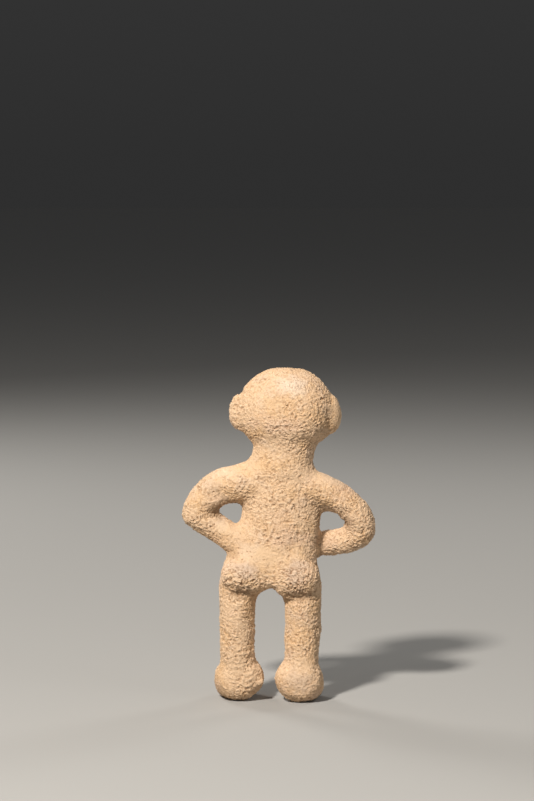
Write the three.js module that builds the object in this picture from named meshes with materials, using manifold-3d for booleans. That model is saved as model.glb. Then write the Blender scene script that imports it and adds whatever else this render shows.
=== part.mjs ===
// A standing fertility figure in coarse, unglazed fired clay.
//
// The figure is hand-built: the maker rolls and pinches separate lumps of clay, and presses each one onto
// the lumps that are already there. Every mesh here is one such lump. A lump is shaped whole, and the
// lumps it is pressed onto are then cut out of it, with a hair of room for the joint.
//
// Frame: millimetres, +Z up, the face looks along -Y, and +X is the figure's own left.
// The origin is on the ground, under the middle of the figure's box.
import * as THREE from "three";
import { mergeVertices } from "three/addons/utils/BufferGeometryUtils.js";
import Module from "manifold-3d";

const wasm = await Module();
wasm.setup();

// ---- driving dimensions ----
const HEIGHT = 180; // sole to crown
const HEAD_WIDTH = 51.6; // without the ears
const HEAD_HEIGHT = 47;
const HEAD_DEPTH = 40;
const NECK_WIDTH = 33;
const CHEST_WIDTH = 42;
const CHEST_DEPTH = 25;
const HIP_WIDTH = 54.4;
const LEG_WIDTH = 19.2;
const HEEL_WIDTH = 26.8;
const FOOT_LENGTH = 34;
const LEAN = -8.5; // the head stands this far to the figure's right of the legs

// ---- making ----
const FACET = 3.9; // length of a facet's side on a large lump
const FINE_FACET = 2.1; // and on a small pellet
const JOINT = 0.3; // room left between two lumps that are pressed together
const FEWEST_SIDES = 10;
const CAP_RINGS = 3;

const CLAY = { color: 0xd8ae80, roughness: 0.95, metalness: 0 };
const UP = new THREE.Vector3(0, 0, 1);
const BACK = new THREE.Vector3(0, 1, 0);

// How many facets of about this length go round an ellipse with these half-widths.
function sidesOf(a, b, facet) {
  const round = 2 * Math.PI * Math.sqrt((a * a + b * b) / 2);
  return Math.max(FEWEST_SIDES, 2 * Math.round(round / facet / 2));
}

// A ball of clay: an ellipsoid, optionally turned, as a function of how much it is grown on every side.
function ball({ at, half, turn = [0, 0, 0], facet = FACET }) {
  return (grow = 0) => {
    const [a, b, c] = half;
    const sides = sidesOf(Math.max(a, b, c), (a + b + c) / 3, facet);
    const shape = new THREE.SphereGeometry(1, sides, sides / 2);
    shape.scale(a + grow, b + grow, c + grow);
    const place = new THREE.Matrix4().makeRotationFromEuler(new THREE.Euler(...turn));
    place.setPosition(...at);
    return shape.applyMatrix4(place);
  };
}

// A roll of clay: a capsule laid along a curve through its stations. A station is
// [x, y, z, half-width, half-depth], and half-depth is measured along the direction called deep.
function roll({ stations, deep = BACK, blunt = [1, 1], facet = FACET }) {
  return (grow = 0) => {
    const spine = new THREE.CatmullRomCurve3(stations.map(([x, y, z]) => new THREE.Vector3(x, y, z)));
    const girth = new THREE.CatmullRomCurve3(stations.map(([, , , w, d]) => new THREE.Vector3(w, d, 0)));
    const widest = Math.max(...stations.map((s) => s[3]));
    const deepest = Math.max(...stations.map((s) => s[4]));
    const steps = Math.max(3, Math.round(spine.getLength() / facet));
    const shape = new THREE.CapsuleGeometry(1, 1, CAP_RINGS, sidesOf(widest, deepest, facet), steps);
    const corner = shape.getAttribute("position");
    for (let i = 0; i < corner.count; i++) {
      const along = corner.getY(i);
      const t = THREE.MathUtils.clamp(along + 0.5, 0, 1);
      const past = along - (t - 0.5); // how far into an end cap, from -1 to 1
      const end = past < 0 ? 0 : 1;
      const { x: w, y: d } = girth.getPoint(t);
      const forward = spine.getTangent(t);
      const wide = forward.clone().cross(deep).normalize();
      const outward = wide.clone().cross(forward);
      const cap = blunt[end] * Math.min(w, d) + grow;
      const point = spine
        .getPoint(t)
        .addScaledVector(forward, past * cap)
        .addScaledVector(wide, corner.getX(i) * (w + grow))
        .addScaledVector(outward, corner.getZ(i) * (d + grow));
      corner.setXYZ(i, point.x, point.y, point.z);
    }
    return shape;
  };
}

// ---- the lumps ----
const headAt = [LEAN - 0.6, -2.2, HEIGHT - HEAD_HEIGHT / 2];
const head = ball({ at: headAt, half: [HEAD_WIDTH / 2, HEAD_DEPTH / 2, HEAD_HEIGHT / 2] });

// A point on the head, from its middle, as shares of the head's half-sizes.
function onHead(x, y, z) {
  return [
    headAt[0] + (x * HEAD_WIDTH) / 2,
    headAt[1] + (y * HEAD_DEPTH) / 2,
    headAt[2] + (z * HEAD_HEIGHT) / 2,
  ];
}

const torso = roll({
  stations: [
    [LEAN + 1.4, -0.4, 120, CHEST_WIDTH / 2 - 0.5, CHEST_DEPTH / 2 - 0.5],
    [LEAN + 1.4, -0.2, 110, CHEST_WIDTH / 2, CHEST_DEPTH / 2 + 0.3],
    [LEAN + 1.9, 0, 97, CHEST_WIDTH / 2, CHEST_DEPTH / 2],
    [LEAN + 4.4, 0.4, 86, CHEST_WIDTH / 2 + 1.6, CHEST_DEPTH / 2 - 0.4],
    [LEAN + 6.2, 0.4, 78, CHEST_WIDTH / 2 + 3, CHEST_DEPTH / 2],
  ],
  blunt: [0.7, 0.3],
});

const hips = roll({
  stations: [
    [LEAN + 6.2, 0.4, 78, CHEST_WIDTH / 2 + 2.8, CHEST_DEPTH / 2],
    [LEAN + 6.8, 0.3, 72, HIP_WIDTH / 2 - 1.2, CHEST_DEPTH / 2 + 0.3],
    [LEAN + 7.3, 0.2, 66, HIP_WIDTH / 2, CHEST_DEPTH / 2 + 0.5],
  ],
  blunt: [0.3, 0.45],
});

const neck = roll({
  stations: [
    [LEAN + 1.6, 0, 124, NECK_WIDTH / 2 + 2.4, 12.4],
    [LEAN + 1.3, 0, 130, NECK_WIDTH / 2 + 0.2, 12.2],
    [LEAN + 0.2, -0.2, 136, NECK_WIDTH / 2, 12.4],
    [LEAN - 0.2, -0.8, 143, NECK_WIDTH / 2 + 1.8, 13.4],
  ],
  blunt: [0.4, 0.7],
  facet: 3.8,
});

const legs = {
  left: roll({
    stations: [
      [16.5, 0.6, 64, LEG_WIDTH / 2 + 0.3, 10.2],
      [16.8, 0, 42, LEG_WIDTH / 2, 10],
      [16.7, -1.6, 22, LEG_WIDTH / 2 - 0.2, 9.7],
      [16.5, -2.6, 11, LEG_WIDTH / 2 - 0.2, 9.4],
    ],
    blunt: [1, 0.6],
  }),
  right: roll({
    stations: [
      [-18.3, 0.8, 64, LEG_WIDTH / 2 + 0.5, 10.4],
      [-18.4, 0.8, 42, LEG_WIDTH / 2 + 0.2, 10],
      [-17.7, 0.6, 22, LEG_WIDTH / 2 - 0.2, 9.6],
      [-17.4, 0.4, 11, LEG_WIDTH / 2 - 0.2, 9.4],
    ],
    blunt: [1, 0.6],
  }),
};

// A foot is a ball at the heel drawn out to a lower, flatter toe, tilted a little on its outer edge. Its
// ends are rounded, and the ground flattens its sole.
const HEEL_HIGH = 12.9;
const TOE_HIGH = 6.6;
const SUNK = 1.1; // how far the ground flattens a sole
function foot({ x, heelBack, toeIn, tilt, lift }) {
  const heel = heelBack - HEEL_HIGH;
  const toe = heelBack - FOOT_LENGTH + TOE_HIGH;
  const middle = (heel + toe) / 2;
  return roll({
    stations: [
      [x, heel, HEEL_HIGH - SUNK + lift, HEEL_WIDTH / 2, HEEL_HIGH],
      [x - toeIn / 2, middle, (HEEL_HIGH + TOE_HIGH) / 2 - SUNK, HEEL_WIDTH / 2 - 0.6, (HEEL_HIGH + TOE_HIGH) / 2],
      [x - toeIn, toe, TOE_HIGH - SUNK, HEEL_WIDTH / 2 - 2, TOE_HIGH],
    ],
    deep: new THREE.Vector3(tilt, 0, 1).normalize(),
    blunt: [1, 1.1],
  });
}
const feet = {
  left: foot({ x: 15.7, heelBack: 9.6, toeIn: -1.5, tilt: 0.25, lift: 0.5 }),
  right: foot({ x: -16.6, heelBack: 13.8, toeIn: 1.5, tilt: -0.25, lift: 0 }),
};

const buttocks = {
  left: ball({ at: [12.4, 7.2, 69], half: [13.4, 9.4, 10.6], turn: [0.12, -0.1, 0] }),
  right: ball({ at: [-14.4, 7.4, 67.6], half: [13.6, 9.8, 11.4], turn: [0.12, 0.14, 0] }),
};

const arms = {
  left: roll({
    stations: [
      [4, 0.4, 117.5, 9.8, 10],
      [15, 0.4, 117.6, 10.2, 10],
      [25.6, 0, 115.4, 9.7, 9.6],
      [33.6, -0.6, 109.4, 8.9, 9],
      [38.1, -1, 101.6, 8.6, 8.6],
      [33.6, -1.2, 97.1, 7.7, 8],
      [25.6, -0.8, 92, 7.3, 7.6],
      [18.1, 0, 86.8, 7.2, 7.4],
    ],
  }),
  right: roll({
    stations: [
      [-18, 0.4, 116.4, 9.6, 10],
      [-28, 0.2, 114, 9.2, 9.6],
      [-38, -0.4, 109, 8.4, 9],
      [-46.2, -1, 101.6, 8.2, 8.6],
      [-49.6, -2.4, 92.8, 8.2, 8.2],
      [-45, -4.4, 87.3, 7.5, 7.8],
      [-37.4, -6.4, 85.4, 7, 7.2],
      [-30, -8.6, 84.1, 6.8, 6.8],
    ],
  }),
};

const hands = {
  left: roll({
    stations: [
      [20.6, -6, 87, 5.4, 4.6],
      [17.6, -9.6, 83.4, 5.8, 4],
      [13.8, -12.2, 79.8, 5.2, 3.4],
    ],
    deep: new THREE.Vector3(0.7, -0.7, 0),
    facet: 3,
  }),
  right: roll({
    stations: [
      [-28, -9.4, 83.6, 5.8, 4.8],
      [-23.8, -11.6, 81, 6, 4.2],
      [-18.8, -13.4, 78.6, 5.4, 3.4],
    ],
    deep: new THREE.Vector3(-0.55, -0.83, 0),
    facet: 3,
  }),
};

const ears = {
  left: ball({ at: onHead(0.93, 0.02, -0.05), half: [6, 7.6, 10.2], turn: [0, 0, 0.3], facet: 3 }),
  right: ball({ at: onHead(-0.94, 0.02, -0.08), half: [5.6, 7.4, 10.6], turn: [0, 0.05, -0.3], facet: 3 }),
};

const belly = ball({ at: [-2.2, -8.6, 81.5], half: [15.5, 9.4, 13], facet: 3.6 });
const navel = ball({ at: [-2.2, -17.8, 79.5], half: [2.4, 1.7, 2.4], facet: FINE_FACET });

// side is 1 on the figure's left and -1 on its right.
function breast(side, drop) {
  return ball({ at: [LEAN + 1.6 + side * 9.2, -12.4, 107.5 - drop], half: [5.8, 6, 6.4], facet: 2.8 });
}
const breasts = { left: breast(1, 0), right: breast(-1, 0.8) };

const nose = roll({
  stations: [
    [...onHead(0, -0.92, 0.2), 2, 2.2],
    [...onHead(0, -1.0, 0.02), 2.6, 3.2],
    [...onHead(0, -1.02, -0.14), 3.4, 4],
  ],
  facet: FINE_FACET,
  blunt: [1, 0.7],
});

function eye(side) {
  return ball({ at: onHead(side * 0.36, -0.91, 0.1), half: [4.2, 2.1, 2.7], turn: [0, 0, side * 0.4], facet: FINE_FACET });
}
const eyes = { left: eye(1), right: eye(-1) };

const mouth = ball({ at: onHead(0, -0.89, -0.44), half: [5.2, 2.2, 2.1], turn: [0.3, 0, 0], facet: FINE_FACET });

// ---- pressing them together ----
// In the order that the figure is built: each lump is pressed onto the ones before it.
const built = {
  torso,
  hips,
  neck,
  head,
  leg_left: legs.left,
  leg_right: legs.right,
  foot_left: feet.left,
  foot_right: feet.right,
  buttock_left: buttocks.left,
  buttock_right: buttocks.right,
  belly,
  arm_left: arms.left,
  arm_right: arms.right,
  hand_left: hands.left,
  hand_right: hands.right,
  ear_left: ears.left,
  ear_right: ears.right,
  breast_left: breasts.left,
  breast_right: breasts.right,
  navel,
  nose,
  eye_left: eyes.left,
  eye_right: eyes.right,
  mouth,
};

// A closed geometry as a solid.
function solidOf(geometry) {
  const shape = geometry.clone();
  shape.deleteAttribute("normal");
  shape.deleteAttribute("uv");
  const merged = mergeVertices(shape, 1e-3);
  return new wasm.Manifold(
    new wasm.Mesh({
      numProp: 3,
      vertProperties: new Float32Array(merged.getAttribute("position").array),
      triVerts: new Uint32Array(merged.index.array),
    }),
  );
}

// A solid as a geometry with flat-shaded facets.
function geometryOf(solid) {
  const mesh = solid.getMesh();
  const shape = new THREE.BufferGeometry();
  shape.setAttribute("position", new THREE.BufferAttribute(new Float32Array(mesh.vertProperties), 3));
  shape.setIndex(new THREE.BufferAttribute(new Uint32Array(mesh.triVerts), 1));
  return shape;
}

// The largest body of a solid: the thin offcuts that a press leaves are scraped away.
function largest(solid) {
  return solid.decompose().reduce((a, b) => (b.volume() > a.volume() ? b : a));
}

const GROUND_SIZE = 400;
const ground = solidOf(new THREE.BoxGeometry(GROUND_SIZE, GROUND_SIZE, GROUND_SIZE).translate(0, 0, -GROUND_SIZE / 2));

const figure = new THREE.Group();
let pressed = ground;
for (const [name, shape] of Object.entries(built)) {
  const lump = largest(solidOf(shape()).subtract(pressed));
  const mesh = new THREE.Mesh(geometryOf(lump), new THREE.MeshStandardMaterial(CLAY));
  mesh.name = name;
  figure.add(mesh);
  pressed = pressed.add(solidOf(shape(JOINT)));
}

// The origin goes under the middle of the figure's box.
const box = new THREE.Box3().setFromObject(figure);
const middle = box.getCenter(new THREE.Vector3());
for (const mesh of figure.children) mesh.position.set(-middle.x, -middle.y, 0);

export default figure;
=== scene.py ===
"""A standing figure in coarse fired clay: its skin, its finish, its light and its camera.

The CAD model is the figure's lumps of clay as plain rolls and balls. Here they are pressed into one skin:
the seams are filleted as a thumb smears them, the surface gets its pits, creases and worn patches as real
relief, and the skin is parted again into one closed piece for each lump. The pieces share their edges and
their normals, so that no seam shows.

Lengths are millimetres until a mesh is made, and metres from there on.
"""
import math

import bpy
import numpy as np
import openvdb as vdb
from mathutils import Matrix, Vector
from mathutils.bvhtree import BVHTree


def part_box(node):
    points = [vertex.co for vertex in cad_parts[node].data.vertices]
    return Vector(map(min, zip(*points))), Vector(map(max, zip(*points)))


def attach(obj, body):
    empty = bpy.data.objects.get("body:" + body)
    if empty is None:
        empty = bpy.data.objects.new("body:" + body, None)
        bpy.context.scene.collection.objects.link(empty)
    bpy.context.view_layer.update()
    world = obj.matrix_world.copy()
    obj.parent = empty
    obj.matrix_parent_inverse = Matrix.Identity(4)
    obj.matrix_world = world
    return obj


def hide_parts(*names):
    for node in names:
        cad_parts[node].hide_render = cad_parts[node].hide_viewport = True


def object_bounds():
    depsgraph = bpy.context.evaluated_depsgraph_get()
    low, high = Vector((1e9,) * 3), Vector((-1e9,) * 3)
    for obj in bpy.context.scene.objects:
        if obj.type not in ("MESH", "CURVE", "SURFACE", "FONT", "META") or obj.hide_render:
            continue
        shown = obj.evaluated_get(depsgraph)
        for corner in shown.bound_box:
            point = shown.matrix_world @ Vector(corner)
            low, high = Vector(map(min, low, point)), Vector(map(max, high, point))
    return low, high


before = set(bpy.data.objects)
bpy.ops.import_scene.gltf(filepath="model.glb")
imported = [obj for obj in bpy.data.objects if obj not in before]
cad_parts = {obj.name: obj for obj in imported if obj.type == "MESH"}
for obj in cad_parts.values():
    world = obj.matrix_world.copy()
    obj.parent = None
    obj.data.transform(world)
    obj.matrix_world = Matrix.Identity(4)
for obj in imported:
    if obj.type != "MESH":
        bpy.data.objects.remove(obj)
cad_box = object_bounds()
MM = 0.001

# ---------------------------------------------------------------- the skin's grid
VOXEL = 0.35
COARSE = 2 * VOXEL  # enough for the wide smears
ROOM = 4.0  # empty space kept around the figure
BAND = 6  # voxels kept on each side of a surface
JOINT_FILL = 0.9  # the least fillet, which closes the joints between the lumps
FAR = 4.0  # a distance at which no skin is drawn
THUMB = (1, 2, 3, 3)  # the blur, in voxels, that rounds the skin as a thumb does
FINGERTIP = (1, 2)  # the lighter one, where small modelling stays crisp

low = np.floor((np.array(cad_box[0]) / MM - ROOM) / COARSE).astype(int)
high = np.ceil((np.array(cad_box[1]) / MM + ROOM) / COARSE).astype(int) + 1


def place(name, x, y, z):
    """A point as shares of a node's box: 0 is its lowest corner, and 1 its highest."""
    a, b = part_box(name)
    return np.array([(a[k] + (b[k] - a[k]) * t) / MM for k, t in enumerate((x, y, z))])


def ramp(value, start, end):
    """0 up to the start and 1 from the end on, with a smooth rise between them."""
    t = np.clip((value - start) / (end - start), 0, 1)
    return t * t * (3 - 2 * t)


def apart(points, middle, reach):
    """How far each point is from this middle: 1 is the reach."""
    return np.linalg.norm((points - middle) / np.array(reach), axis=1)


def apart_on_grid(middle, reach):
    """The same, for each cell of the coarse grid."""
    total = 0
    for k in range(3):
        steps = (np.arange(low[k], high[k]) * COARSE - middle[k]) / reach[k]
        total = total + (steps**2).reshape([-1 if axis == k else 1 for axis in range(3)])
    return np.sqrt(total).astype(np.float32)


def polygons(names):
    """The corners, in millimetres, and the triangles of these CAD nodes together."""
    corners, triangles, used = [], [], 0
    for name in names:
        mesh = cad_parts[name].data
        mesh.calc_loop_triangles()
        points = np.empty(len(mesh.vertices) * 3, np.float32)
        mesh.vertices.foreach_get("co", points)
        faces = np.empty(len(mesh.loop_triangles) * 3, np.int32)
        mesh.loop_triangles.foreach_get("vertices", faces)
        corners.append(points.reshape(-1, 3) / MM)
        triangles.append(faces.reshape(-1, 3) + used)
        used += len(mesh.vertices)
    return np.vstack(corners).astype(np.float32), np.vstack(triangles).astype(np.uint32)


def level_set(points, triangles, quads, step, outer, inner):
    """The distance to this surface, known this far outside and inside it."""
    return vdb.FloatGrid.createLevelSetFromPolygons(
        points,
        triangles=triangles,
        quads=quads,
        transform=vdb.createLinearTransform(step),
        exBandWidth=outer / step + BAND,
        inBandWidth=inner / step + BAND,
    )


def filleted(names, radius, step=COARSE):
    """The distance to the skin of these nodes, with every inner corner filled to this radius: the skin is
    swollen by the radius, and shrunk by it again."""
    points, triangles = polygons(names)
    swollen = level_set(points, triangles, None, step, radius, 0)
    surface = swollen.convertToPolygons(isovalue=radius)
    shrunk = level_set(surface[0], surface[1], surface[2], step, 0, radius)
    finer = round(COARSE / step)
    distance = np.empty((high - low - 1) * finer + 1, np.float32)
    shrunk.copyToArray(distance, ijk=tuple(int(i) * finer for i in low))
    return np.clip(distance + radius, -BAND * VOXEL, BAND * VOXEL)


def doubled(field):
    """A field on the coarse grid, brought to the fine one, whose cells are half as wide."""
    for axis in range(3):
        field = np.moveaxis(field, axis, 0)
        finer = np.empty((2 * len(field) - 1, *field.shape[1:]), np.float32)
        finer[::2] = field
        finer[1::2] = (field[1:] + field[:-1]) / 2
        field = np.moveaxis(finer, 0, axis)
    return np.ascontiguousarray(field)


def blurred(field, strides):
    """A field averaged, once for each stride, with what lies that many cells away."""
    for stride in strides:
        for axis in range(3):
            beside = np.roll(field, stride, axis)
            beside += np.roll(field, -stride, axis)
            field = 0.5 * field + 0.25 * beside
    return field


# Which lumps the maker smeared together, how widely, and, for a smear that is only local, where: a middle
# and a reach along each axis.
ARMS = ["arm_left", "arm_right"]
HANDS = ["hand_left", "hand_right"]
LEGS = ["leg_left", "leg_right"]
BUTTOCKS = ["buttock_left", "buttock_right"]
BREASTS = ["breast_left", "breast_right"]
SMEARS = [
    (["torso", "hips", *ARMS], 1.8, None),
    (["torso", "arm_right"], 3.5, (place("arm_right", 0.7, 0.5, 0.42), (18, 30, 13))),
    (["torso", "neck", *ARMS], 14, (place("torso", 0.42, 1.05, 0.92), (34, 17, 15))),
    (["torso", *ARMS], 9, (place("torso", 0.42, 1.0, 0.8), (46, 18, 10))),
    (["torso", "hips", "belly", *HANDS], 1.6, None),
    (["torso", "hips", *BUTTOCKS], 16, (place("hips", 0.5, 1.1, 0.95), (34, 16, 15))),
    (["hips", *BUTTOCKS], 9, (place("buttock_left", 0, 0.8, 0.75), (30, 16, 15))),
    (["hips", *LEGS], 6.5, None),
    (["leg_left", "foot_left"], 4, None),
    (["leg_right", "foot_right"], 4, None),
    (["torso", "neck", *ARMS], 2.2, None),
    (["neck", "head"], 3, None),
    (["neck", "head"], 14, (place("neck", 0.45, 1.0, 0.75), (24, 15, 17))),
    (["head", "ear_left"], 8, (place("ear_left", 0, 1.2, 0.5), (12, 9, 13))),
    (["head", "ear_right"], 6, (place("ear_right", 0.7, 1.1, 0.45), (11, 10, 14))),
    (["head", "ear_left", "ear_right"], 2.0, None),
    (["torso", *BREASTS], 2.5, None),
    (["torso", "hips", "belly"], 6, None),
    (["head", "nose"], 1.6, None),
]

# Where a fingertip pushed the clay in, or, below 0, drew it out: a middle, a reach, and how deep. Left is the
# figure's own left.
PRESSES = [
    # the left arm: the pad of a thumb over the loop, a pointed elbow, a shoulder drawn up to the neck
    (place("arm_left", 0.55, 1.0, 0.66), (11, 9, 6), 1.9),
    (place("arm_left", 1.0, 0.5, 0.43), (5, 8, 4), -0.6),
    (place("arm_left", 1.0, 0.5, 0.63), (6, 10, 5), 0.7),
    (place("arm_left", 0.96, 0.5, 0.24), (7, 10, 5), 1.2),
    (place("arm_left", 0.17, 0.4, 1.0), (7, 12, 5), -3.0),
    # the right arm: its loop, opened with a fingertip
    (place("arm_right", 0.42, 1.0, 0.5), (7, 8, 6), 1.0),
    (place("arm_right", 0.4, 0.5, 0.43), (4.5, 12, 5), 1.7),
    (place("arm_right", 0.51, 0.5, 0.52), (4.5, 12, 3.5), 1.9),
    (place("arm_right", 0.48, 0.5, 0.37), (3, 12, 2.5), 0.4),
    # the buttocks: pressed flatter, round again above, and turned under
    (place("buttock_left", 0.5, 1.0, 0.3), (15, 8, 12), 1.1),
    (place("buttock_right", 0.5, 1.0, 0.32), (16, 8, 12), 1.1),
    (place("buttock_left", 0.5, 1.0, 0.5), (10, 7, 7), -0.8),
    (place("buttock_right", 0.5, 1.0, 0.5), (11, 7, 7), -0.8),
    (place("buttock_left", 0.45, 1.0, 0.1), (13, 9, 4.5), 1.6),
    (place("buttock_right", 0.5, 1.0, 0.12), (14, 9, 4.5), 1.4),
    (place("buttock_right", 0.8, 0.9, 0.12), (5, 9, 4), 1.2),
    # the crease under each, and the swell of the thigh below it
    (place("buttock_left", 0.42, 0.85, 0.05), (12, 7, 2.2), 2.5),
    (place("buttock_right", 0.45, 0.85, 0.06), (13, 7, 2.2), 2.5),
    (place("buttock_left", 0.45, 0.72, -0.3), (13, 9, 12), -1.0),
    (place("buttock_right", 0.45, 0.72, -0.28), (14, 9, 12), -1.0),
    # the top of the gap between the legs
    (place("hips", 0.5, 0.6, 0.03), (3.6, 24, 5), 2.0),
    # the left foot: its heel's corner, sides, ankle, back and lower edge
    (place("foot_left", 0.02, 0.85, 0.46), (4.5, 7, 4), -2.4),
    (place("foot_left", 1.0, 0.9, 0.1), (7, 10, 6), 1.3),
    (place("foot_left", 0.97, 0.85, 0.22), (5, 9, 4), 1.0),
    (place("foot_left", 0.1, 0.85, 0.2), (6, 10, 4.5), 1.9),
    (place("foot_left", 0.55, 1.0, 0.75), (9, 6, 5), 0.7),
    (place("foot_left", 0.5, 1.02, 0.42), (16, 7, 13), 2.4),
    (place("foot_left", 0.5, 0.95, 0.0), (18, 9, 4), 1.9),
    # the right foot: its heel's side, ankle, back and lower edge
    (place("foot_right", 0.0, 0.9, 0.12), (6, 9, 6), 0.8),
    (place("foot_right", 0.6, 1.0, 0.8), (9, 6, 5), 0.6),
    (place("foot_right", 0.5, 1.02, 0.42), (16, 7, 13), 2.4),
    (place("foot_right", 0.5, 0.95, 0.0), (18, 9, 4), 1.9),
    # the head and neck: crown, back, eye line, the notch over the left ear, and the jaw
    (place("head", 0.46, 0.5, 1.0), (10, 20, 4), 0.8),
    (place("head", 0.48, 1.05, 0.5), (24, 9, 20), 1.5),
    (place("head", 0.5, 0.0, 0.55), (9, 3, 4), 0.3),
    (place("ear_left", 0.2, 0.5, 1.05), (4, 10, 3), 1.5),
    (place("head", 0.11, 0.5, 0.15), (6, 10, 5), -2.0),
    (place("neck", 1.0, 0.5, 0.22), (4, 12, 6), 1.3),
]

# Where a point scored the clay: a middle, a reach, and how deep.
SLITS = [
    (place("eye_left", 0.5, 0.0, 0.5), (3.6, 3, 0.8), 0.8),
    (place("eye_right", 0.5, 0.0, 0.5), (3.6, 3, 0.8), 0.8),
    (place("mouth", 0.5, 0.0, 0.55), (5.0, 3, 0.8), 0.9),
    (place("navel", 0.5, 0.0, 0.5), (1.2, 3, 1.2), 0.9),
]

# Where small modelling stays crisp under the thumb's smoothing: a middle, and a reach.
CRISP = [
    (place("head", 0.5, -0.1, 0.45), (24, 15, 20)),
    (place("belly", 0.5, -0.1, 0.4), (26, 10, 18)),
    (place("ear_right", 0.4, 0.7, 0.5), (9, 9, 15)),
    (place("ear_left", 0.5, 0.5, 0.8), (8, 12, 10)),
    (place("buttock_left", 0.5, 0.8, 0.0), (18, 12, 9)),
    (place("buttock_right", 0.5, 0.8, 0.0), (18, 12, 9)),
]


def pressed_together():
    """The distance to the whole skin, before its fine relief."""
    smeared = FAR
    for names, radius, where in SMEARS:
        part = filleted(names, radius)
        if where:
            part = part + FAR * ramp(apart_on_grid(*where), 0.55, 1.0)
        smeared = np.minimum(smeared, part)
    whole = np.minimum(filleted(sorted(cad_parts), JOINT_FILL, VOXEL), doubled(smeared))
    pushed = sum(depth * (1 - ramp(apart_on_grid(middle, reach), 0, 1)) for middle, reach, depth in PRESSES)
    whole += doubled(pushed)
    crisp = doubled(1 - np.prod([ramp(apart_on_grid(*where), 0.6, 1.1) for where in CRISP], axis=0))
    softer = blurred(whole, THUMB)
    return softer + crisp * (blurred(whole, FINGERTIP) - softer)


def nooks_of(distance, points):
    """How deep each point of the skin lies in a crease, from 0 to 1: how much clay is around it."""
    cell = tuple((np.round(points / VOXEL).astype(int) - 2 * low).T)
    near = blurred(distance, (2, 3))
    around = blurred(near, (5, 7))
    return np.maximum(ramp(-around[cell], -0.1, 0.8), ramp(-near[cell], 0.1, 0.45))


def surface_of(distance):
    """The skin as points and quads."""
    grid = vdb.FloatGrid(float(BAND * VOXEL))
    grid.transform = vdb.createLinearTransform(VOXEL)
    grid.copyFromArray(np.ascontiguousarray(distance), ijk=tuple(int(i) * 2 for i in low))
    points, quads = grid.convertToQuads(isovalue=0.0)
    return points.astype(float), quads.astype(np.int64)


# ---------------------------------------------------------------- mesh arithmetic
def face_normals(points, quads):
    """Each quad's normal, as long as twice the quad's area."""
    a, b, c, d = (points[quads[:, k]] for k in range(4))
    return np.cross(c - a, d - b)


def unit(vectors):
    return vectors / np.maximum(np.linalg.norm(vectors, axis=1, keepdims=True), 1e-12)


def spread(values, quads, count):
    """At each point, the sum of the values of the faces around it."""
    corner = quads.ravel()
    each = np.repeat(values, 4, axis=0)
    return np.stack([np.bincount(corner, each[:, k], count) for k in range(each.shape[1])], 1)


def point_normals(points, quads):
    return unit(spread(face_normals(points, quads), quads, len(points)))


def averaged(values, quads, passes):
    """Values at points, each averaged with its neighbours this many times."""
    count = np.maximum(np.bincount(quads.ravel(), minlength=len(values)), 1)[:, None]
    for _ in range(passes):
        values = spread(values[quads].mean(1), quads, len(values)) / count
    return values


# ---------------------------------------------------------------- noise
GRADIENTS = unit(np.random.RandomState(7).normal(size=(256, 3)))
PRIMES = np.array([73856093, 19349663, 83492791], np.int64)


def noise(points, size, seed=0):
    """Smooth noise from about -1 to 1, whose features are about this many millimetres across. size may be
    one number, or one for each axis."""
    p = points / size + seed * 17.31
    cell = np.floor(p).astype(np.int64)
    inside = p - cell
    fade = inside**3 * (inside * (inside * 6 - 15) + 10)
    total = np.zeros(len(p))
    for corner in np.ndindex(2, 2, 2):
        step = np.array(corner)
        key = ((cell + step) * PRIMES).sum(1)
        key = (key ^ (key >> 13) ^ (seed * 7919)) & 255
        weight = np.prod(np.where(step == 1, fade, 1 - fade), axis=1)
        total += weight * ((inside - step) * GRADIENTS[key]).sum(1)
    return total * 1.6


# ---------------------------------------------------------------- relief
# Where the surface is handled smooth (above 0) or left ragged (below 0): a middle, a reach along each axis,
# and how much of the relief goes.
HANDLED = [
    (place("head", 0.52, 0.6, 1.0), (22, 24, 12), 0.5),
    (place("head", 0.75, 1.0, 0.6), (14, 10, 12), 0.35),
    (place("head", 0.27, 1.0, 0.4), (12, 12, 13), -0.5),
    (place("neck", 0.5, 1.0, 0.5), (18, 12, 12), 0.15),
    (place("arm_left", 0.35, 0.7, 0.98), (22, 14, 6), 0.6),
    (place("arm_right", 0.6, 0.7, 0.95), (20, 14, 7), 0.55),
    (place("ear_right", 0.05, 0.8, 0.5), (6.5, 12, 12), 0.7),
    (place("torso", 0.68, 1.0, 0.12), (20, 14, 9), 0.45),
    (place("hips", 0.45, 1.0, 1.0), (30, 12, 7), 0.3),
    (place("arm_left", 0.4, 0.8, 0.3), (10, 9, 5), 0.75),
    (place("arm_right", 0.7, 0.8, 0.3), (9, 9, 4), 0.7),
    (place("arm_left", 0.85, 0.8, 0.3), (10, 9, 7), -0.4),
    (place("arm_right", 0.2, 0.8, 0.15), (14, 9, 9), -0.4),
    (place("buttock_left", 0.5, 0.9, 0.35), (17, 10, 12), -0.6),
    (place("buttock_right", 0.5, 0.9, 0.35), (17, 10, 12), -0.6),
    (place("foot_left", 0.5, 0.9, 0.6), (16, 12, 12), 0.3),
    (place("foot_right", 0.5, 0.9, 0.8), (16, 12, 9), 0.35),
    (place("foot_left", 0.5, 0.7, 0.0), (18, 20, 4), -0.5),
    (place("foot_right", 0.5, 0.7, 0.0), (18, 20, 4), -0.5),
    (place("arm_right", 0.79, 0.8, 0.25), (4.5, 10, 13), -0.6),
    (place("belly", 0.5, 0.0, 0.5), (14, 8, 12), 0.5),
    (place("hand_left", 0.5, 0.2, 0.5), (8, 7, 8), 0.6),
    (place("hand_right", 0.5, 0.2, 0.5), (8, 7, 8), 0.6),
    (place("head", 0.5, 0.0, 0.4), (19, 10, 15), 0.88),
]

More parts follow.
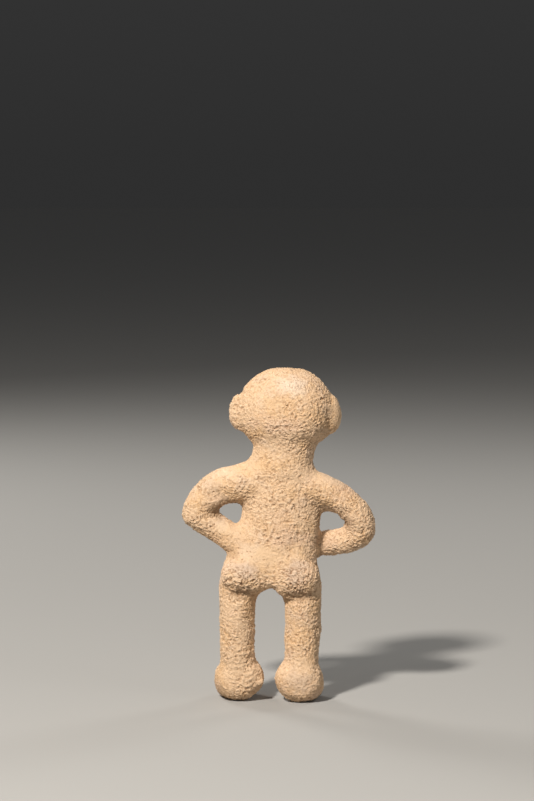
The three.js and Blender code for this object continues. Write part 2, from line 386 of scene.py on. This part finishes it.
# Where the fire left the clay greyer: a middle, a reach, and how much.
STAINS = [
    (place("buttock_left", 0.4, 1.0, 0.7), (10, 8, 8), 0.9),
    (place("buttock_right", 0.5, 1.0, 0.75), (11, 8, 9), 1.0),
    (place("arm_left", 0.7, 1.0, 0.8), (9, 8, 6), 0.5),
    (place("foot_right", 0.5, 1.0, 0.55), (13, 9, 12), 0.5),
]

# Where shade is painted into the colour: the creases under the buttocks, the rims of the arms' loops and the
# crease beside the right forearm, where shade falls.
PAINTED_SHADE = [
    (place("buttock_left", 0.4, 0.85, 0.05), (14, 9, 3.6), 1.0),
    (place("buttock_right", 0.48, 0.85, 0.07), (14, 9, 3.6), 1.0),
    (place("arm_left", 0.56, 0.7, 0.48), (7, 10, 5.5), 1.0),
    (place("arm_left", 0.38, 0.6, 0.57), (10, 10, 4), 0.8),
    (place("arm_right", 0.775, 0.8, 0.35), (3.2, 10, 16), 0.7),
    (place("arm_right", 0.37, 0.6, 0.46), (5, 10, 6), 0.8),
]

# Where it is bleached.
BLEACHED = [
    (place("head", 0.43, 0.85, 0.77), (12, 14, 7), 0.9),
    (place("arm_left", 0.45, 0.9, 0.9), (12, 10, 5), 0.3),
]


def zones(points, places):
    """The strongest of these local zones at each point, with a mottled edge."""
    strongest = np.zeros(len(points))
    mottle = 0.35 * noise(points, 4, 21)
    for middle, reach, amount in places:
        near = 1 - ramp(apart(points, middle, reach) + mottle, 0.3, 1.05)
        strongest = np.maximum(strongest, amount * near)
    return strongest


def roughness_of(points):
    """How much relief each point keeps: 1 is the plain clay."""
    kept = 0.92 + 0.5 * noise(points, 13, 3)
    for middle, reach, taken in HANDLED:
        near = 1 - ramp(apart(points, middle, reach) + 0.25 * noise(points, 5, 4), 0.45, 1.1)
        kept = kept * (1 - taken * near)
    return np.clip(kept, 0.14, 1.5)


def creases(field, width):
    """1 along the lines where a noise field crosses zero, and 0 away from them."""
    return np.exp(-((field / width) ** 2))


def relief(points):
    """The height of the surface over the smooth skin, and how deep each point lies in a crease or pit."""
    rough = roughness_of(points)
    bent = points + 1.2 * np.stack([noise(points, 3.8, s) for s in (11, 12, 13)], 1)
    swells = 0.4 * noise(points, 16, 1) + 0.28 * noise(points, 7, 2)
    lumps = 0.22 * noise(bent, (2.6, 2.6, 1.9), 5) + 0.25 * noise(bent, (1.3, 1.3, 1.0), 6)
    worms = creases(noise(bent, (2.1, 2.1, 1.3), 7), 0.18) * ramp(noise(points, 2.0, 8), -0.05, 0.4)
    cracks = creases(noise(bent, (1.2, 1.2, 0.9), 9), 0.24) * ramp(noise(points, 1.5, 10), -0.1, 0.3)
    grit = 0.25 * noise(points, 0.85, 14)
    pits = ramp(noise(points, 1.4, 15), 0.55, 0.8) * ramp(noise(points, 6, 16), -0.4, 0.2)
    for middle, reach, deep in SLITS:
        swells = swells - deep * (1 - ramp(apart(points, middle, reach), 0.2, 1))
    height = swells + rough * (1.1 * lumps - 0.38 * worms - 0.34 * cracks)
    height = height + (0.4 + 0.6 * rough) * grit - 0.4 * pits
    depth = np.clip(rough * (0.7 * worms + 0.45 * cracks) + pits, 0, 1)
    return height, depth, rough


# ---------------------------------------------------------------- parting the skin
def edge_pairs(quads):
    """The two faces at each edge, with each edge once."""
    start = quads.ravel()
    end = np.roll(quads, -1, axis=1).ravel()
    face = np.repeat(np.arange(len(quads)), 4)
    key = np.minimum(start, end) * (quads.max() + 1) + np.maximum(start, end)
    order = np.argsort(key, kind="stable")
    same = key[order][:-1] == key[order][1:]
    first, second = order[:-1][same], order[1:][same]
    return np.stack([face[first], face[second]], 1)


def nearest_node(points, names):
    """For each point, the place in names of the node whose surface is nearest."""
    corners, triangles, owner = [], [], []
    used = 0
    for i, name in enumerate(names):
        c, t = polygons([name])
        corners.append(c)
        triangles.append(t.astype(int) + used)
        owner += [i] * len(t)
        used += len(c)
    tree = BVHTree.FromPolygons(np.vstack(corners).tolist(), np.vstack(triangles).tolist())
    owner = np.array(owner)
    return owner[[tree.find_nearest(Vector(p))[2] for p in points]]


def groups_of(count, pairs):
    """Numbers the connected groups of this many things, joined in these pairs."""
    group = np.arange(count)
    while True:
        a, b = group[pairs[:, 0]], group[pairs[:, 1]]
        lower = np.minimum(a, b)
        merged = group.copy()
        np.minimum.at(merged, a, lower)
        np.minimum.at(merged, b, lower)
        merged = merged[merged]
        if (merged == group).all():
            return group
        group = merged


def parted(points, quads, names):
    """Each face's node. A node's faces are one connected patch."""
    owner = nearest_node(points[quads].mean(1), names)
    pairs = edge_pairs(quads)
    for _ in range(6):  # each face takes the owner that most of its neighbours have
        votes = np.zeros((len(quads), len(names)), np.int8)
        np.add.at(votes, (pairs[:, 0], owner[pairs[:, 1]]), 1)
        np.add.at(votes, (pairs[:, 1], owner[pairs[:, 0]]), 1)
        winner = votes.argmax(1)
        owner = np.where(votes.max(1) >= 3, winner, owner)
    for _ in range(20):  # an island goes to the patch around it
        same = owner[pairs[:, 0]] == owner[pairs[:, 1]]
        group = groups_of(len(quads), pairs[same])
        size = np.bincount(group, minlength=len(quads))
        largest = np.zeros(len(names), int)
        for i in range(len(names)):
            mine = np.unique(group[owner == i])
            largest[i] = mine[size[mine].argmax()]
        stray = group != largest[owner]
        if not stray.any():
            return owner
        for a, b in ((0, 1), (1, 0)):
            edge = stray[pairs[:, a]] & ~stray[pairs[:, b]]
            owner[pairs[edge, a]] = owner[pairs[edge, b]]
    return owner


def boundary_loops(quads):
    """The rings of points around a patch's open edges, each in the order that a closing face needs."""
    start = quads.ravel()
    end = np.roll(quads, -1, axis=1).ravel()
    size = int(quads.max()) + 1
    forward, backward = start * size + end, end * size + start
    open_edge = ~np.isin(forward, backward)
    following = {}
    for a, b in zip(end[open_edge].tolist(), start[open_edge].tolist()):
        following.setdefault(a, []).append(b)
    loops = []
    while following:
        here = next(iter(following))
        loop = []
        while here in following:
            loop.append(here)
            onward = following[here]
            there = onward.pop()
            if not onward:
                del following[here]
            here = there
        loops.append(loop)
    return loops


# ---------------------------------------------------------------- the texture map
ISLAND_GAP = 0.008  # between islands, as a share of the side of a square with all their area
ROW_SLACK = 1.05  # how much wider a row is than that side


def islands(points, quads, smooth_normals):
    """A texture map for a patch: each face is drawn along the axis that it looks along most, each connected
    run of such faces is an island, and the islands are laid out in rows. Gives one (u, v) for each corner."""
    normal = smooth_normals[quads].mean(1)
    along = np.abs(normal).argmax(1)
    axis = along * 2 + (normal[np.arange(len(normal)), along] > 0)
    pairs = edge_pairs(quads)
    for _ in range(8):
        votes = np.zeros((len(quads), 6), np.int8)
        np.add.at(votes, (pairs[:, 0], axis[pairs[:, 1]]), 1)
        np.add.at(votes, (pairs[:, 1], axis[pairs[:, 0]]), 1)
        axis = np.where(votes.max(1) >= 3, votes.argmax(1), axis)
    group = groups_of(len(quads), pairs[axis[pairs[:, 0]] == axis[pairs[:, 1]]])
    keep = [[1, 2], [0, 2], [0, 1]]
    corner = points[quads]
    flat = np.empty((len(quads), 4, 2))
    for k in range(3):
        mine = axis // 2 == k
        flat[mine] = corner[mine][:, :, keep[k]]
    found, index = np.unique(group, return_inverse=True)
    lowest = np.full((len(found), 2), np.inf)
    highest = np.full((len(found), 2), -np.inf)
    for k in range(2):
        np.minimum.at(lowest[:, k], index, flat[:, :, k].min(1))
        np.maximum.at(highest[:, k], index, flat[:, :, k].max(1))
    extent = highest - lowest
    gap = ISLAND_GAP * math.sqrt(extent.prod(1).sum())
    width = max(ROW_SLACK * math.sqrt((extent + gap).prod(1).sum()), extent[:, 0].max() + 2 * gap)
    at = np.zeros_like(lowest)
    x = y = row = gap
    for i in np.argsort(-extent[:, 1], kind="stable"):
        if x + extent[i, 0] + gap > width:
            x, y = gap, y + row + gap
            row = 0
        at[i] = x, y
        x += extent[i, 0] + gap
        row = max(row, extent[i, 1])
    side = max(width, y + row + gap)
    return (flat - lowest[index][:, None] + at[index][:, None]) / side


# ---------------------------------------------------------------- pieces
CAP_SINK = 0.6  # how far a closing face dips into its own piece
ON_CAPS = {"depth": 0, "rough": 0.5, "proud": 0.5, "nook": 0.5, "stain": 0, "bleach": 0, "crease_dark": 0}


def piece_of(name, quads, skin):
    """One lump's closed piece: its patch of the skin, and a hidden face over each open ring."""
    used = np.unique(quads)
    local = np.zeros(len(skin["points"]), int)
    local[used] = np.arange(len(used))
    patch = local[quads]
    points = skin["points"][used]
    normals = skin["normals"][used]
    caps, cap_points = [], []
    middle = points.mean(0)
    for loop in boundary_loops(patch):
        centre = points[loop].mean(0)
        inward = middle - centre
        centre = centre + inward / max(np.linalg.norm(inward), 1e-9) * CAP_SINK
        tip = len(points) + len(cap_points)
        cap_points.append(centre)
        caps += [(a, b, tip) for a, b in zip(loop, loop[1:] + loop[:1])]
    if cap_points:
        points = np.vstack([points, cap_points])
    mesh = bpy.data.meshes.new(name)
    mesh.from_pydata((points * MM).tolist(), [], patch.tolist() + caps)
    mesh.update()
    mesh.shade_smooth()
    corner_normals = np.zeros((len(patch) * 4 + len(caps) * 3, 3))
    corner_normals[: len(patch) * 4] = normals[patch.ravel()]
    if caps:
        c = np.array(caps)
        first, second, third = (points[c[:, k]] for k in range(3))
        flat = unit(np.cross(second - first, third - first))
        corner_normals[len(patch) * 4 :] = np.repeat(flat, 3, axis=0)
    mesh.normals_split_custom_set(corner_normals.tolist())
    for key, fallback in ON_CAPS.items():
        attribute = mesh.attributes.new(key, "FLOAT", "POINT")
        values = np.concatenate([skin[key][used], np.full(len(cap_points), fallback)])
        attribute.data.foreach_set("value", values.astype(np.float32))
    uv = mesh.uv_layers.new(name="OFBake")
    corner_uv = np.zeros((len(corner_normals), 2), np.float32)
    laid_out = islands(skin["plain"][used], patch, skin["plain_normals"][used])
    corner_uv[: len(patch) * 4] = laid_out.reshape(-1, 2)
    uv.data.foreach_set("uv", corner_uv.ravel())
    piece = bpy.data.objects.new(name, mesh)
    bpy.context.scene.collection.objects.link(piece)
    return piece


# ---------------------------------------------------------------- finish
def fired_clay():
    """Coarse unglazed clay: buff, with stains, wear and specks, a painted highlight on what stands proud, a
    darker brown in the creases and pits, and painted shade in the hollows, nooks and creases.
    """
    material = bpy.data.materials.new("fired_clay")
    material.use_nodes = True
    tree = material.node_tree
    nodes, links = tree.nodes, tree.links
    shader = nodes["Principled BSDF"]
    where = nodes.new("ShaderNodeTexCoord").outputs["Object"]

    def noise_node(scale, detail=4.0, rough=0.6):
        node = nodes.new("ShaderNodeTexNoise")
        node.inputs["Scale"].default_value = scale
        node.inputs["Detail"].default_value = detail
        node.inputs["Roughness"].default_value = rough
        links.new(where, node.inputs["Vector"])
        return node.outputs["Fac"]

    def stepped(value, start, end):
        node = nodes.new("ShaderNodeMapRange")
        node.interpolation_type = "SMOOTHSTEP"
        node.inputs["From Min"].default_value = start
        node.inputs["From Max"].default_value = end
        links.new(value, node.inputs["Value"])
        return node.outputs["Result"]

    def times(value, factor):
        node = nodes.new("ShaderNodeMath")
        node.operation = "MULTIPLY"
        links.new(value, node.inputs[0])
        if isinstance(factor, float):
            node.inputs[1].default_value = factor
        else:
            links.new(factor, node.inputs[1])
        return node.outputs["Value"]

    def mixed(amount, under, over):
        node = nodes.new("ShaderNodeMix")
        node.data_type = "RGBA"
        links.new(amount, node.inputs["Factor"])
        for value, socket in ((under, node.inputs[6]), (over, node.inputs[7])):
            if isinstance(value, tuple):
                socket.default_value = (*value, 1)
            else:
                links.new(value, socket)
        return node.outputs[2]

    def attribute(name):
        node = nodes.new("ShaderNodeAttribute")
        node.attribute_name = name
        return node.outputs["Fac"]

    buff = (0.64, 0.45, 0.29)
    ochre = (0.62, 0.41, 0.235)
    rosy = (0.60, 0.42, 0.30)
    ashen = (0.57, 0.44, 0.34)
    fumed = (0.50, 0.385, 0.305)
    pale = (0.74, 0.57, 0.41)
    worn = (0.70, 0.53, 0.37)
    bleached = (0.71, 0.60, 0.50)
    shade = (0.30, 0.195, 0.115)
    crease_dark = (0.28, 0.155, 0.08)
    speck = (0.20, 0.13, 0.09)

    colour = mixed(stepped(noise_node(60, 3), 0.42, 0.62), buff, ochre)
    colour = mixed(times(stepped(noise_node(38, 4), 0.48, 0.66), 0.7), colour, rosy)
    colour = mixed(times(stepped(noise_node(85, 5), 0.54, 0.70), 0.45), colour, ashen)
    colour = mixed(times(attribute("stain"), 0.75), colour, fumed)
    colour = mixed(times(stepped(noise_node(900, 2), 0.55, 0.75), 0.35), colour, pale)
    # painted highlight: paler on the ridges that stand proud, as where light catches them
    colour = mixed(times(stepped(attribute("proud"), 0.55, 1.0), 0.4), colour, pale)
    colour = mixed(times(stepped(attribute("rough"), 0.75, 0.2), 0.4), colour, worn)
    colour = mixed(times(attribute("bleach"), 0.6), colour, bleached)
    # painted shade: darker in the hollows between the ridges
    colour = mixed(times(stepped(attribute("proud"), 0.48, 0.05), 0.3), colour, shade)
    # painted shade: darker deep in the nooks and creases, where shade falls
    colour = mixed(times(attribute("nook"), 0.8), colour, shade)
    # painted shade: darker in the creases under the buttocks and round the arms' loops, as listed above
    colour = mixed(times(attribute("crease_dark"), 0.85), colour, shade)
    # darker brown along the deep creases, cracks and pits of the relief
    colour = mixed(times(attribute("depth"), 0.72), colour, crease_dark)
    colour = mixed(times(stepped(noise_node(1400, 1), 0.70, 0.76), 0.7), colour, speck)
    links.new(colour, shader.inputs["Base Color"])

    links.new(stepped(noise_node(500, 3), -0.9, 1.2), shader.inputs["Roughness"])
    shader.inputs["Specular IOR Level"].default_value = 0.18

    grain = nodes.new("ShaderNodeMath")
    grain.operation = "ADD"
    links.new(times(noise_node(1300, 5, 0.7), 1.0), grain.inputs[0])
    links.new(times(noise_node(3200, 3, 0.6), 0.5), grain.inputs[1])
    bump = nodes.new("ShaderNodeBump")
    bump.inputs["Strength"].default_value = 1.0
    bump.inputs["Distance"].default_value = 0.3 * MM
    links.new(grain.outputs["Value"], bump.inputs["Height"])
    links.new(bump.outputs["Normal"], shader.inputs["Normal"])
    return material


# ---------------------------------------------------------------- build
PROUD = 0.25  # how far a point stands over its surroundings where it counts as wholly proud of them

distance = pressed_together()
plain, quads = surface_of(distance)
plain_normals = point_normals(plain, quads)
if (plain_normals * (plain - plain.mean(0))).sum(1).mean() < 0:
    quads = quads[:, ::-1].copy()
    plain_normals = -plain_normals
height, depth, rough = relief(plain)
points = plain + plain_normals * height[:, None]
points[:, 2] = np.maximum(points[:, 2], 0)
normals = point_normals(points, quads)
sunk = ((averaged(points, quads, 12) - points) * normals).sum(1)  # above 0 in a hollow, below it on a ridge
proud = np.clip(0.5 - sunk / (2 * PROUD), 0, 1)
skin = {
    "points": points,
    "normals": normals,
    "plain": plain,
    "plain_normals": unit(averaged(plain_normals, quads, 6)),
    "depth": depth,
    "rough": rough,
    "proud": proud,
    "nook": nooks_of(distance, plain),
    "stain": zones(plain, STAINS),
    "bleach": zones(plain, BLEACHED),
    "crease_dark": zones(plain, PAINTED_SHADE),
}
names = sorted(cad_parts)
owner = parted(plain, quads, names)
clay = fired_clay()
for i, name in enumerate(names):
    mine = quads[owner == i]
    piece = piece_of(name + "_clay", mine, skin)
    piece.data.materials.append(clay)
    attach(piece, "root")
    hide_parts(name)


# ---------------------------------------------------------------- floor, light and camera
FLOOR = 0.36
HORIZON = 0.28  # the sky's share of its zenith's light at which the far floor and the sky look the same


def floor():
    mesh = bpy.data.meshes.new("floor")
    half = 14.0
    corners = [(-half, -half, 0), (half, -half, 0), (half, half, 0), (-half, half, 0)]
    mesh.from_pydata(corners, [], [(0, 1, 2, 3)])
    material = bpy.data.materials.new("floor")
    material.use_nodes = True
    shader = material.node_tree.nodes["Principled BSDF"]
    shader.inputs["Base Color"].default_value = (FLOOR, FLOOR * 0.995, FLOOR * 0.98, 1)
    shader.inputs["Roughness"].default_value = 0.9
    shader.inputs["Specular IOR Level"].default_value = 0.1
    mesh.materials.append(material)
    thing = bpy.data.objects.new("floor", mesh)
    bpy.context.scene.collection.objects.link(thing)


def studio(strength):
    """A soft white sky, brightest overhead."""
    world = bpy.data.worlds.new("studio")
    world.use_nodes = True
    nodes, links = world.node_tree.nodes, world.node_tree.links
    direction = nodes.new("ShaderNodeSeparateXYZ")
    links.new(nodes.new("ShaderNodeTexCoord").outputs["Generated"], direction.inputs[0])
    upward = nodes.new("ShaderNodeMapRange")
    upward.inputs["To Min"].default_value = HORIZON
    links.new(direction.outputs["Z"], upward.inputs["Value"])
    links.new(upward.outputs["Result"], nodes["Background"].inputs["Color"])
    nodes["Background"].inputs["Strength"].default_value = strength
    bpy.context.scene.world = world


def lamp(name, at, aim, size, watts, colour):
    light = bpy.data.lights.new(name, "AREA")
    light.shape = "DISK"
    light.size = size
    light.energy = watts
    light.color = colour
    thing = bpy.data.objects.new(name, light)
    thing.location = at
    thing.rotation_euler = (Vector(aim) - Vector(at)).to_track_quat("-Z", "Y").to_euler()
    bpy.context.scene.collection.objects.link(thing)


def camera():
    """The figure is seen from behind, a little from above, low in an upright picture."""
    height = cad_box[1][2] - cad_box[0][2]
    picture = 2.375 * height  # how much height the picture takes in at the figure
    distance = 1.5
    rise = math.radians(5.0)
    aim = Vector((0.0066, 0, 0.897 * height))
    data = bpy.data.cameras.new("camera")
    data.sensor_fit = "VERTICAL"
    data.sensor_height = 36
    data.lens = data.sensor_height * distance / picture
    thing = bpy.data.objects.new("camera", data)
    thing.location = aim + Vector((0, distance * math.cos(rise), distance * math.sin(rise)))
    thing.rotation_euler = (aim - thing.location).to_track_quat("-Z", "Y").to_euler()
    bpy.context.scene.collection.objects.link(thing)
    bpy.context.scene.camera = thing


floor()
lamp("key", (0.6, 1.2, 1.25), (0, 0, 0.09), 0.2, 49, (1, 0.935, 0.85))
lamp("fill", (-1.3, 0.9, 0.6), (0, 0, 0.09), 0.9, 3.0, (1, 0.95, 0.88))
lamp("front", (0.9, -1.1, 0.9), (0, 0, 0.1), 0.5, 11, (1, 0.96, 0.9))
lamp("rim", (-0.9, -0.9, 0.8), (0, 0, 0.1), 0.4, 4, (1, 0.97, 0.92))
studio(0.1)
bpy.context.scene.view_settings.view_transform = "Standard"
camera()
